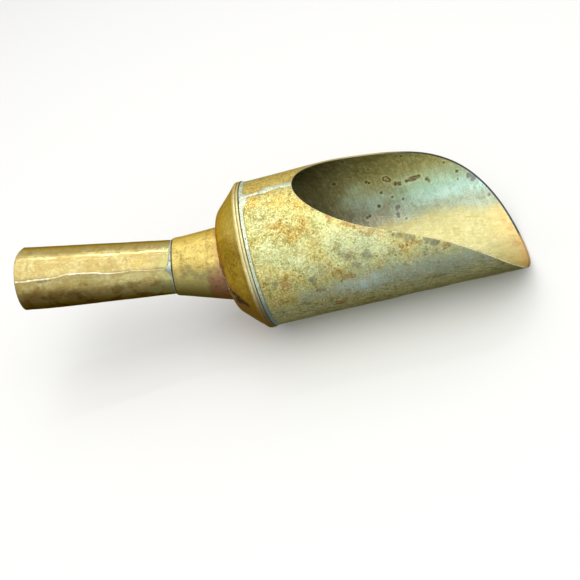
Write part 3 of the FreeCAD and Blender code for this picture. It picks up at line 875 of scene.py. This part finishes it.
# ---- the brass sheets
def scoop_body():
    """Rolled sheet with a slanted mouth: its outside, cut edge (with painted shade on its far side) and
    inside.
    """
    angle = round_angles(480)
    mouth = mouth_x(angle)
    lip_out, lip_reach = edge_round(SHEET / 2, 0.3 * MM)
    back = -BODY_INSERT
    outer_t = np.linspace(0, 1, 190)
    inner_t = np.linspace(1, 0, 150)
    end = mouth - lip_reach.max()
    along = np.concatenate([back + (end - back) * outer_t, end + lip_reach + 0 * angle,
                            back + (end - back) * inner_t], axis=1)
    radius = np.concatenate([np.full(len(outer_t), BODY_R), BODY_R - SHEET / 2 + lip_out,
                             np.full(len(inner_t), BODY_R - SHEET)])[None, :] + 0 * angle
    spread = body_point(along, angle, BODY_R)
    free = step(along, 4 * MM, 30 * MM)                    # the skirt holds the sheet true
    radius += free * (0.22 * MM * noise(spread, 34 * MM, 11) + 0.07 * MM * noise(spread, 11 * MM, 12))
    radius += 0.02 * MM * noise(spread, 3.5 * MM, 13)
    for depth, middle, length, turn in ((0.55, 84, 9, 42), (0.5, 112, 7, 50)):    # two shallow dents
        radius -= depth * MM * bell(along, middle * MM, length * MM) * bell(angle, math.radians(turn), 0.16)
    zones = [0] * (len(outer_t) - 1) + [1] * (len(lip_out) + 2) + [2] * (len(inner_t) - 1)
    points = body_point(along, angle, radius)
    return make_piece("body_sheet", points, [BODY_OUTSIDE, BODY_EDGE, BODY_INSIDE],
                      ["scoop_body"], zones)


def dish_section(inset, count):
    """Half section of the back as (distance behind the skirt's front, radius), from rim to axis."""
    fall = cone_fall()
    turn = math.pi / 2 - fall
    knuckle = KNUCKLE_R - inset
    tangent = knuckle * math.tan(turn / 2)
    disc = SKIRT_X - DISC_X - inset
    knee_r = CONE_END_R - inset * math.tan(turn / 2)
    shoulder = (SKIRT_LENGTH - inset * math.tan(fall / 2), SKIRT_R - inset)
    sweep = np.linspace(0, turn, count // 4)
    arc = [(disc - knuckle * (1 - math.cos(turn - a)), knee_r - tangent + knuckle * math.sin(turn - a))
           for a in sweep]
    cone = [(shoulder[0] + (arc[0][0] - shoulder[0]) * t, shoulder[1] + (arc[0][1] - shoulder[1]) * t)
            for t in np.linspace(0, 1, count // 2)[1:-1]]
    flat = [(disc, (knee_r - tangent) * t) for t in np.linspace(1, 0, count // 2)[1:]]
    skirt = [(SKIRT_LENGTH * t, SKIRT_R - inset) for t in np.linspace(0, 0.93, 22)]
    return np.array(skirt + cone + arc + flat)


def back_dish():
    """Pressed back: double-beaded skirt, cone, rounded knuckle and flat disc."""
    outer, inner = dish_section(0.0, 90), dish_section(SHEET, 60)
    skirt = outer[:, 0] <= SKIRT_LENGTH
    beads = np.abs(np.sin(TURN * outer[:, 0] / SKIRT_LENGTH))   # two round beads side by side
    outer[skirt, 1] += (0.42 * MM * (np.sqrt(beads) - 1))[skirt] * step(outer[skirt, 0], -1 * MM, 0.1 * MM)
    section = np.concatenate([outer, inner[::-1]])
    angle = round_angles(360)
    along = -section[None, :, 0] + 0 * angle
    radius = section[None, :, 1] + 0 * angle
    spread = body_point(along, angle, radius)
    loose = step(-along, SKIRT_LENGTH, 9 * MM) * step(radius, 0, 12 * MM)
    along = along + loose * 0.16 * MM * noise(spread, 14 * MM, 21)
    radius = radius * (1 + loose * 0.006 * noise(spread, 17 * MM, 22))
    zones = [0] * (len(outer) - 1) + [1] * (len(inner) + 1)
    points = body_point(along, angle, radius)
    return make_piece("back_pressing", points, [BACK_OUTSIDE, BACK_INSIDE],
                      ["back_dish"], zones)


def collar():
    """Flared sleeve whose wide end is trimmed to the leaning back disc."""
    angle = round_angles(300)
    lip_out, lip_reach = edge_round(COLLAR_SHEET / 2, 0.2 * MM)
    outer_t, inner_t = np.linspace(0, 1, 90), np.linspace(1, 0, 60)
    end = COLLAR_LENGTH - lip_reach.max()
    foot = collar_foot(angle) + 0.1 * MM
    along = np.concatenate([foot + (end - foot) * outer_t, end + lip_reach + 0 * angle,
                            foot + (end - foot) * inner_t], axis=1)
    skin = np.concatenate([np.zeros(len(outer_t)), lip_out - COLLAR_SHEET / 2,
                           np.full(len(inner_t), -COLLAR_SHEET)])
    radius = collar_r(np.minimum(along, end)) + skin
    spread = handle_point(along, angle, radius)
    middle = step(along, 1 * MM, 8 * MM) * step(-along, -COLLAR_LENGTH, 6 * MM - COLLAR_LENGTH)
    radius += middle * (0.16 * MM * noise(spread, 13 * MM, 31) + 0.05 * MM * noise(spread, 5 * MM, 32))
    radius += 0.25 * MM * bell(along, COLLAR_LENGTH - 2 * MM, 2.2 * MM) * step(radius, 0, 1 * MM)
    zones = [0] * (len(outer_t) + len(lip_out)) + [1] * len(inner_t)
    points = handle_point(along, angle, radius)
    return make_piece("collar_sleeve", points, [COLLAR_BRASS, HANDLE_INSIDE],
                      ["collar"], zones)


def hammer_marks(arc, along, spacing, seed):
    """Soft planished surface: from 0 in the middle of each hammer mark to about 1 between marks."""
    dice = np.random.default_rng(seed)
    sharpness = 12
    around = TURN * (HANDLE_JOINT_R + HANDLE_END_R) / 2
    count = (int(around / spacing), int(HANDLE_END / spacing))
    total = np.zeros(np.broadcast(arc, along).shape)
    for i in range(count[0]):
        for j in range(count[1] + 1):
            middle_arc = (i + 0.5 * (j % 2) + dice.uniform(-0.35, 0.35)) * around / count[0]
            middle_along = (j + dice.uniform(-0.35, 0.35)) * HANDLE_END / count[1]
            across = np.abs((arc - middle_arc + around / 2) % around - around / 2)
            distance = np.hypot(across, (along - middle_along) * dice.uniform(0.7, 1.1))
            total += np.exp(-sharpness * np.minimum(distance / spacing, 2.5) ** 2)
    return np.clip(-np.log(total + 1e-9) / sharpness * 2, 0, 1)


def seam_drift(along):
    """How far the handle's hand-cut seam wanders from straight, as an arc length."""
    wander = 1.9 * MM * bell(along, 88 * MM, 13 * MM) + 0.9 * MM * bell(along, 55 * MM, 14 * MM)
    return wander + 0.3 * MM * noise(strip(along), 6 * MM, 41)


def handle_skin(arc, along):
    """How far the handle's outside stands off its plain cone at an arc length above its seam."""
    spread = handle_point(along, HANDLE_SEAM + arc / HANDLE_JOINT_R, handle_r(along))
    bare = step(along, COLLAR_LENGTH + 1 * MM, COLLAR_LENGTH + 8 * MM)
    lumps = -0.07 * MM * (1 - hammer_marks(arc + 30 * MM, along, 8.5 * MM, 42))
    lumps += 0.11 * MM * noise(spread, 17 * MM, 43) + 0.010 * MM * noise(spread, 3 * MM, 44)
    below = step(-arc, -0.12 * MM, 0.12 * MM)              # the lower edge laps over the upper
    lap = 0.26 * MM * below * np.exp(np.minimum(arc, 0) / (9 * MM))
    return bare * lumps + lap * step(along, COLLAR_LENGTH, 60 * MM)


def handle_tube():
    """Rolled, planished tube with a lapped seam and a slightly bent open end."""
    fine = np.linspace(-1.6 * MM, 1.6 * MM, 33) / HANDLE_JOINT_R
    wide = np.linspace(fine[-1], TURN + fine[0], 300)[1:-1]
    turn_from_seam = np.concatenate([fine, wide])[:, None]
    lip_out, lip_reach = edge_round(SHEET / 2, 0.3 * MM)
    start = COLLAR_LENGTH - HANDLE_INSERT
    end = HANDLE_END - lip_reach.max()
    outer_along = np.linspace(start, end, 230)
    inner_along = np.linspace(end, start, 110)
    along = np.concatenate([outer_along, end + lip_reach, inner_along])[None, :] + 0 * turn_from_seam
    facing = folded(HANDLE_SEAM + turn_from_seam)
    short = 1.8 * MM * bell(facing, math.radians(118), 0.45)   # the end was cut a little slanted there
    along = along - short * step(along, HANDLE_END - 30 * MM, HANDLE_END)
    arc = folded(turn_from_seam) * HANDLE_JOINT_R
    skin = np.concatenate([np.zeros(len(outer_along)), lip_out - SHEET / 2,
                           np.full(len(inner_along), -SHEET)])
    radius = handle_r(np.minimum(along, end)) + skin + handle_skin(arc, along)
    angle = HANDLE_SEAM + turn_from_seam + seam_drift(along) / HANDLE_JOINT_R
    bent = bell(along, HANDLE_END, 9 * MM) * bell(folded(angle), math.radians(-62), 0.5)
    radius -= 0.9 * MM * bent
    zones = [0] * (len(outer_along) - 1) + [1] * (len(lip_out) + 1) + [2] * len(inner_along)
    points = handle_point(along, angle, radius)
    return make_piece("handle_sheet", points, [HANDLE_BRASS, HANDLE_EDGE, HANDLE_INSIDE],
                      ["handle_tube"], zones)


# ---- the solder
def dome(count, sink):
    """Section of a bead: (place across from -1 to 1, height from 0 to 1), closed under the surface."""
    turn = np.linspace(math.pi, 0, count)
    across = np.concatenate([np.cos(turn), [0.9, -0.9]])
    height = np.concatenate([np.sin(turn) ** 0.8, [-sink, -sink]])
    return across, height


def skirt_solder():
    """Solder run round the body against the skirt: wide and pooled below, thin half-way up.

    Widths and heights are in mm."""
    start = 0.22                               # just in front of the skirt
    angle = round_angles(900)
    turn = angle[:, 0]
    ring = body_point(0, turn, BODY_R)
    ragged = 0.32 * noise(ring, 5 * MM, 51) + 0.22 * noise(ring, 1.8 * MM, 52)
    width = 1.75 + 0.75 * step(-turn, -1.45, -0.7) + 0.35 * step(turn, 2.2, 2.9) + 0.5 * ragged
    width += 2.6 * bell(turn, math.pi - 0.07, 0.095) + 0.4 * bell(turn, math.pi, 0.25)
    height = 0.42 + 0.12 * noise(ring, 4 * MM, 53) + 0.03 * noise(ring, 1.2 * MM, 54)
    across = np.linspace(0, 1, 12)
    fall = (1 - across ** 1.6) * (0.8 + 0.5 * across)
    top_along = start + across * width[:, None]
    grain = noise(body_point(top_along * MM, angle, BODY_R), 1.1 * MM, 55)
    top_height = height[:, None] * fall + 0.015 * grain
    top_height[:, -1] = -0.05
    under = np.array([[0.9, 0.1]])
    along = np.concatenate([top_along, start + under * width[:, None]], axis=1) * MM
    lift = np.concatenate([top_height, np.full((len(angle), 2), -0.25)], axis=1) * MM
    points = body_point(along, angle, BODY_R + lift)
    return make_piece("skirt_solder_run", points, [SOLDER], ["skirt_solder"])


def seam_bead(name, along, width, height, drift, place, seed, replaced, material):
    """Uneven bead laid along a seam.  place turns (along, arc across, lift) into points."""
    across, up = dome(11, 0.4)
    spread = strip(along)
    width = width * (1 + 0.24 * noise(spread, 4 * MM, seed) + 0.12 * noise(spread, 1.4 * MM, seed + 1))
    height = height * (1 + 0.35 * noise(spread, 3 * MM, seed + 2) + 0.2 * noise(spread, 1.0 * MM, seed + 3))
    edge = drift + 0.12 * width * noise(spread, 2.2 * MM, seed + 4)
    arc = edge[:, None] + across[None, :] * width[:, None] / 2
    lift = up[None, :] * height[:, None]
    rows = along[:, None] + 0 * arc
    lift = lift + 0.05 * height[:, None] * noise(strip(rows, arc), 0.9 * MM, seed + 5)
    return make_piece(name, place(rows, arc, lift), [material], [replaced], ring=False)


def body_seam_solder():
    """Silvery bead along the top seam, from the skirt's solder to the mouth."""
    along = np.linspace(1.2 * MM, mouth_x(math.pi) - 0.25 * MM, 260)
    width = 4.2 * MM + 1.2 * MM * bell(along, 0, 3 * MM) - 1.3 * MM * bell(along, 9 * MM, 5 * MM)
    drift = -1.5 * MM * step(along, 4 * MM, 28 * MM)       # it strays over the top towards the mouth

    def place(rows, arc, lift):
        return body_point(rows, math.pi - arc / BODY_R, BODY_R + lift)

    return seam_bead("body_seam_bead", along, width, 0.3 * MM, drift, place, 61,
                     "body_seam_solder", SOLDER)


def handle_seam_solder():
    """Thin bright line of solder along the edge of the handle's lap."""
    along = np.linspace(COLLAR_LENGTH + 1.5 * MM, HANDLE_END - 0.6 * MM, 700)
    strong = 0.1 + 0.9 * step(along, 58 * MM, 76 * MM)     # it sinks away towards the collar
    width = 0.85 * MM * strong
    height = 0.17 * MM * strong

    def place(rows, arc, lift):
        angle = HANDLE_SEAM + (arc + seam_drift(rows)) / HANDLE_JOINT_R
        return handle_point(rows, angle, handle_r(rows) + handle_skin(arc, rows) + lift)

    return seam_bead("handle_seam_bead", along, width, height, 0.15 * MM, place, 71,
                     "handle_seam_solder", SEAM_SOLDER)


def collar_joint_solder():
    """Solder creeping out of the collar's mouth, with one pointed blob on the near side.

    Widths and heights are in mm."""
    start = 0.35                               # just in front of the collar's mouth
    angle = round_angles(700)
    ring = handle_point(COLLAR_LENGTH, angle[:, 0], HANDLE_JOINT_R)
    facing = folded(angle[:, 0])
    blob = bell(facing, HANDLE_SEAM, 0.16)
    web = bell(facing, HANDLE_SEAM + 0.2, 0.4)
    upper = step(facing, 0.35, 0.6) * step(-facing, -2.9, -2.5)
    width = 0.55 + 0.35 * upper + 1.9 * blob + 0.9 * web + 0.2 * upper * noise(ring, 3 * MM, 81)
    width += 0.12 * noise(ring, 1 * MM, 82)
    height = 0.12 + 0.25 * upper + 0.7 * blob + 0.2 * web + 0.06 * noise(ring, 2 * MM, 83)
    across = np.linspace(0, 1, 12)
    top_along = start + across * width[:, None]
    top_height = height[:, None] * (1 - across ** 2.0)
    top_height[:, -1] = -0.05
    under = np.array([[0.9, 0.0]])
    along = COLLAR_LENGTH + MM * np.concatenate([top_along, start + under * width[:, None]], axis=1)
    lift = MM * np.concatenate([top_height, np.full((len(angle), 2), -0.3)], axis=1)
    points = handle_point(along, angle, handle_r(along) + lift)
    return make_piece("collar_joint_run", points, [JOINT_SOLDER], ["collar_joint_solder"])


def collar_base_solder():
    """Brazed fillet round the collar's foot on the back disc."""
    angle = round_angles(600)
    foot = collar_foot(angle)
    base = handle_point(foot, angle, collar_r(foot))[:, 0]
    up_collar = handle_point(foot + 1 * MM, angle, collar_r(foot + 1 * MM))[:, 0] - base
    up_collar /= np.linalg.norm(up_collar, axis=1)[:, None]
    out = base - np.array([DISC_X, 0, AXIS_Z - HANDLE_DROP])
    out[:, 0] = 0
    out /= np.linalg.norm(out, axis=1)[:, None]
    uneven = 1 + 0.25 * noise(base, 5 * MM, 91) + 0.15 * noise(base, 1.5 * MM, 92)
    climb = 1.7 * MM * uneven
    spread = 1.25 * MM * (1 + 0.25 * noise(base, 4 * MM, 93))
    points = []
    for a in np.linspace(0, math.pi / 2, 11):
        hollow = 1 - 0.25 * math.sin(2 * a)
        points.append(base + (climb * math.cos(a) * hollow)[:, None] * up_collar
                      + (spread * math.sin(a) * hollow)[:, None] * out
                      + (0.12 * MM * math.cos(a)) * out - np.array([0.1 * MM * math.sin(a), 0, 0]))
    points.append(base - 0.3 * MM * out)
    return make_piece("collar_foot_fillet", np.stack(points, axis=1), [FOOT_SOLDER],
                      ["collar_base_solder"])


# ---- floor, light and camera
def plain_material(name, colour, roughness):
    """Material of one colour, without texture."""
    material = bpy.data.materials.new(name)
    material.use_nodes = True
    shader = material.node_tree.nodes["Principled BSDF"]
    shader.inputs["Base Color"].default_value = (*colour, 1)
    shader.inputs["Roughness"].default_value = roughness
    return material


def floor():
    """Plain pale floor, wide enough to fill every view."""
    half = 3.0
    mesh = bpy.data.meshes.new("floor")
    corners = [(-half, -half, 0), (half, -half, 0), (half, half, 0), (-half, half, 0)]
    mesh.from_pydata(corners, [], [(0, 1, 2, 3)])
    mesh.materials.append(plain_material("floor_pale", (0.82, 0.83, 0.85), 0.9))
    made = bpy.data.objects.new("floor", mesh)
    bpy.context.scene.collection.objects.link(made)
    made.visible_glossy = False                            # the brass mirrors the dark below, not the floor


def direction(azimuth, elevation):
    """Unit vector to a point seen from the object: azimuth from -Y towards +X, elevation up."""
    a, e = math.radians(azimuth), math.radians(elevation)
    return Vector((math.sin(a) * math.cos(e), -math.cos(a) * math.cos(e), math.sin(e)))


def softbox(name, azimuth, elevation, distance, size, power, colour):
    """Rectangular lamp that faces the object and isn't seen itself."""
    lamp = bpy.data.lights.new(name, "AREA")
    lamp.shape = "RECTANGLE"
    lamp.size, lamp.size_y = size
    lamp.energy = power
    lamp.color = colour
    made = bpy.data.objects.new(name, lamp)
    toward = direction(azimuth, elevation)
    made.location = CENTRE + toward * distance
    made.rotation_mode = "QUATERNION"
    made.rotation_quaternion = toward.to_track_quat("Z", "Y")
    made.visible_camera = False
    bpy.context.scene.collection.objects.link(made)


def surroundings(low, high, dark_below, bright_above):
    """Soft light from all round, from dark underneath to bright overhead (heights from -1 to 1)."""
    world = bpy.data.worlds.new("surroundings")
    world.use_nodes = True
    nodes, links = world.node_tree.nodes, world.node_tree.links
    place = nodes.new("ShaderNodeTexCoord")
    split = nodes.new("ShaderNodeSeparateXYZ")
    rise = nodes.new("ShaderNodeMapRange")
    rise.interpolation_type = "SMOOTHSTEP"
    rise.inputs["From Min"].default_value = dark_below
    rise.inputs["From Max"].default_value = bright_above
    blend = nodes.new("ShaderNodeMix")
    blend.data_type = "RGBA"
    blend.inputs[6].default_value = (*low, 1)
    blend.inputs[7].default_value = (*high, 1)
    links.new(place.outputs["Generated"], split.inputs[0])
    links.new(split.outputs[2], rise.inputs["Value"])
    links.new(rise.outputs[0], blend.inputs[0])
    links.new(blend.outputs[2], nodes["Background"].inputs["Color"])
    bpy.context.scene.world = world


def camera(azimuth, elevation, roll, distance, aim, lens):
    """Camera round the object, rolled about its own line of sight."""
    data = bpy.data.cameras.new("camera")
    data.lens = lens
    data.sensor_width = 36
    data.clip_start = 0.01
    made = bpy.data.objects.new("camera", data)
    back = direction(azimuth, elevation)
    level = Vector((math.cos(math.radians(azimuth)), math.sin(math.radians(azimuth)), 0))
    above = back.cross(level)
    turn = math.radians(roll)
    right = level * math.cos(turn) + above * math.sin(turn)
    over = above * math.cos(turn) - level * math.sin(turn)
    basis = Matrix((right, over, back)).transposed().to_4x4()
    made.matrix_world = Matrix.Translation(aim + back * distance) @ basis
    bpy.context.scene.collection.objects.link(made)
    bpy.context.scene.camera = made


CENTRE = Vector((0, 0, AXIS_Z))
AIM = Vector((SKIRT_X + 8.8 * MM, 0, AXIS_Z - 35.2 * MM))

scoop_body()
body_seam_solder()
back_dish()
skirt_solder()
collar()
collar_base_solder()
collar_joint_solder()
handle_tube()
handle_seam_solder()

floor()
surroundings((0.27, 0.25, 0.21), (0.88, 0.87, 0.84), -0.95, 0.35)
softbox("ceiling_light", 5, 78, 1.0, (1.4, 1.25), 5.0, (1.0, 0.96, 0.88))
softbox("window_light", 15, 10, 1.0, (1.6, 0.7), 1.6, (0.80, 0.96, 1.0))
softbox("strip_light", -171, 64, 0.95, (0.32, 0.03), 0.5, (1.0, 1.0, 1.0))
softbox("back_light", -168, 54, 1.0, (0.8, 0.26), 0.4, (1.0, 0.97, 0.90))
camera(azimuth=11.4, elevation=43.39, roll=-21.13, distance=0.4751, aim=AIM, lens=46.55)
bpy.context.scene.view_settings.view_transform = "Standard"
